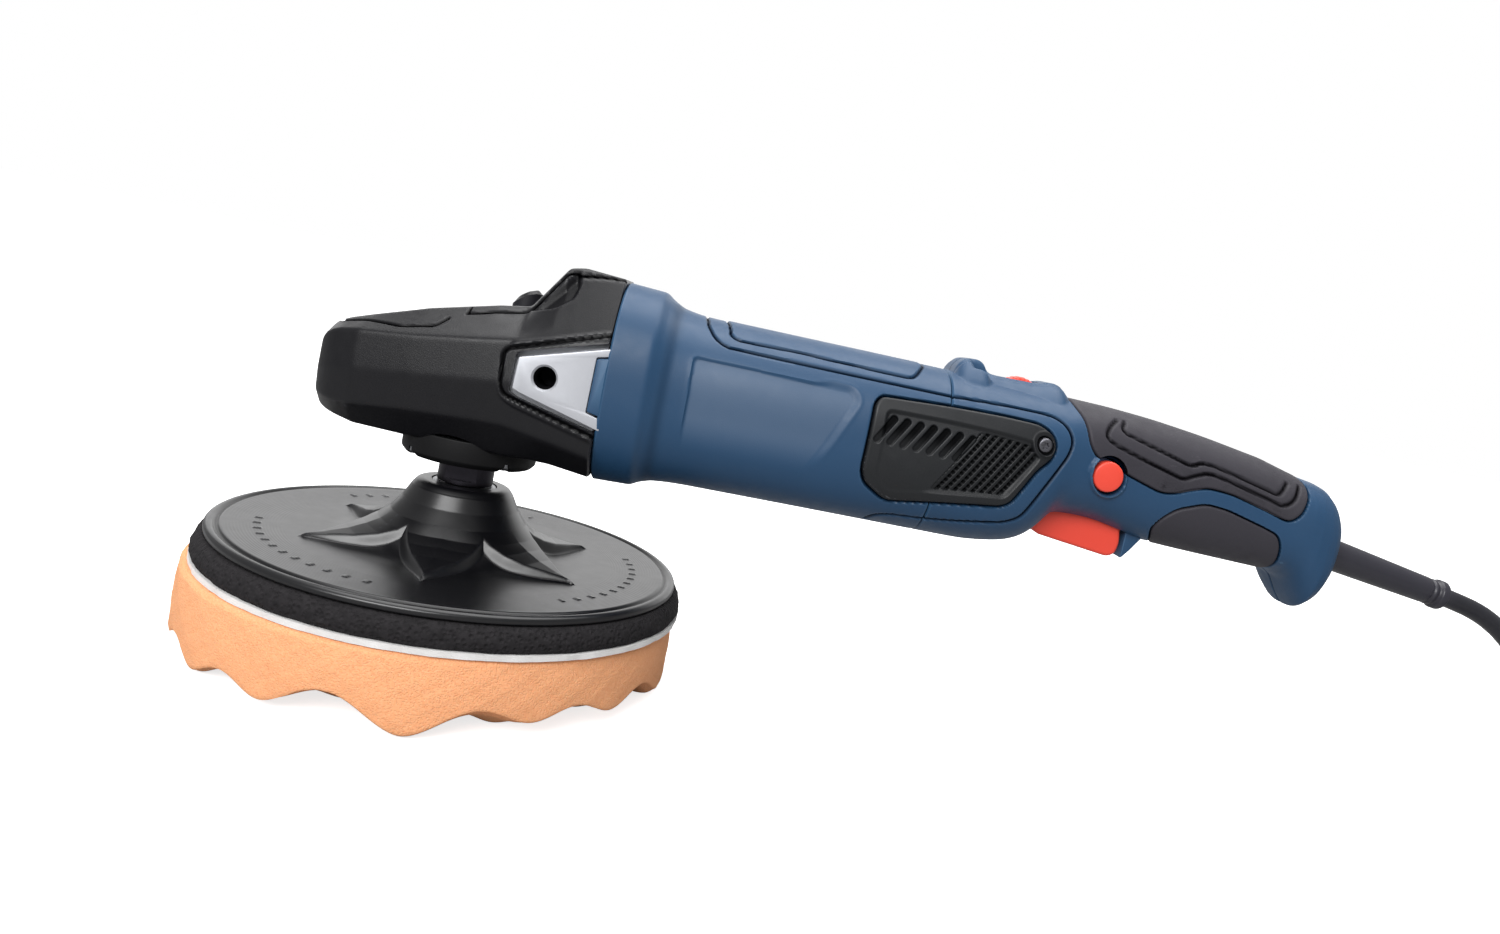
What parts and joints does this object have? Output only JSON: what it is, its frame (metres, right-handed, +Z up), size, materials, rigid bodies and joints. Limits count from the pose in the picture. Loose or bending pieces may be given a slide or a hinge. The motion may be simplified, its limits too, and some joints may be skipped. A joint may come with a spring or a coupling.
{
  "type": "rotary polisher",
  "caption": "Right-angle electric rotary polisher with a foam pad, side-handle sockets, trigger and lock-on button, speed wheel and a coiled mains cord.",
  "frame": {"origin": "centre of the pad's working face, on the spindle's axis", "axes": "+Z up along the spindle axis, +X along the motor towards the handle"},
  "size_m": [0.6942, 0.1983, 0.1534],
  "materials": {
    "pad_foam": "open-cell polishing foam, orange",
    "fleece": "white loop backing",
    "cushion_foam": "dense black cushion foam",
    "gloss_black": "glossy moulded black",
    "black_plastic": "satin moulded black",
    "blue_plastic": "fine-textured moulded blue",
    "grip_rubber": "soft overmoulded grip",
    "red_plastic": "satin moulded red",
    "cord_rubber": "black rubber sheath",
    "bare_aluminium": "die-cast, machined faces",
    "steel": "machined steel",
    "copper": "copper windings and fittings",
    "carbon": "pressed carbon"
  },
  "bodies": {
    "root": {"lower_spindle_bearing": "steel", "upper_spindle_bearing": "steel", "bearing_flange": "black_plastic", "gear_housing": "bare_aluminium", "head_cover": "black_plastic", "bearing_plate": "bare_aluminium", "front_motor_bearing": "steel", "rear_motor_bearing": "steel", "air_baffle": "black_plastic", "stator": "steel", "upper_field_coil": "copper", "lower_field_coil": "copper", "left_brush_holder": "copper", "left_carbon_brush": "carbon", "right_brush_holder": "copper", "right_carbon_brush": "carbon", "motor_housing": "blue_plastic", "left_vent_cover": "black_plastic", "left_vent_screw": "steel", "left_handle_shell": "blue_plastic", "left_upper_grip": "grip_rubber", "left_lower_grip": "grip_rubber", "right_vent_cover": "black_plastic", "right_vent_screw": "steel", "right_handle_shell": "blue_plastic", "right_upper_grip": "grip_rubber", "right_lower_grip": "grip_rubber", "handle_screw_1": "steel", "handle_screw_2": "steel", "handle_screw_3": "steel", "switch_body": "black_plastic", "electronics_module": "black_plastic", "cord_clamp": "black_plastic", "cord_boot": "cord_rubber", "cord_tube": "cord_rubber", "cord_coil": "cord_rubber", "cord_tail": "cord_rubber", "plug": "cord_rubber", "flange_screw_1": "steel", "flange_screw_2": "steel", "flange_screw_3": "steel", "flange_screw_4": "steel"},
    "spindle_group": {"polishing_pad": "pad_foam", "loop_layer": "fleece", "cushion_layer": "cushion_foam", "backing_plate": "gloss_black", "plate_insert": "steel", "spindle": "steel", "crown_wheel": "steel"},
    "armature_group": {"bevel_pinion": "steel", "armature_shaft": "steel", "armature_core": "steel", "front_winding": "copper", "rear_winding": "copper", "commutator": "copper", "cooling_fan": "black_plastic"},
    "trigger": {"trigger": "red_plastic"},
    "lock_on_button": {"lock_on_button": "red_plastic"},
    "spindle_lock_button": {"spindle_lock_button": "black_plastic"},
    "speed_wheel": {"speed_wheel": "red_plastic"}
  },
  "joints": [
    {"name": "spindle_spin", "type": "hinge", "parent": "root", "child": "spindle_group", "pos_m": [0, 0, 0], "axis": [0, 0, 1], "continuous": true},
    {"name": "armature_spin", "type": "hinge", "parent": "root", "child": "armature_group", "pos_m": [0, 0, 0.1135], "axis": [1, 0, 0], "continuous": true},
    {"name": "trigger_squeeze", "type": "hinge", "parent": "root", "child": "trigger", "pos_m": [0.2195, 0, 0.1], "axis": [0, -1, 0], "range_deg": [0, 7], "stiffness_Nm_per_rad": 1.2, "springref_deg": -2.86},
    {"name": "lock_on_press", "type": "slide", "parent": "root", "child": "lock_on_button", "axis": [0, 1, 0], "range_m": [0, 0.0025], "stiffness_N_per_m": 600, "springref_m": -0.001},
    {"name": "spindle_lock_press", "type": "slide", "parent": "root", "child": "spindle_lock_button", "axis": [0, 0, -1], "range_m": [0, 0.004], "stiffness_N_per_m": 500, "springref_m": -0.001},
    {"name": "speed_wheel_turn", "type": "hinge", "parent": "root", "child": "speed_wheel", "pos_m": [0.2006, 0, 0.1384], "axis": [0, 1, 0], "range_deg": [-140, 140]}
  ],
  "couplings": [
    {"joint": "armature_spin", "follows": "spindle_spin", "ratio": 3.2}
  ]
}
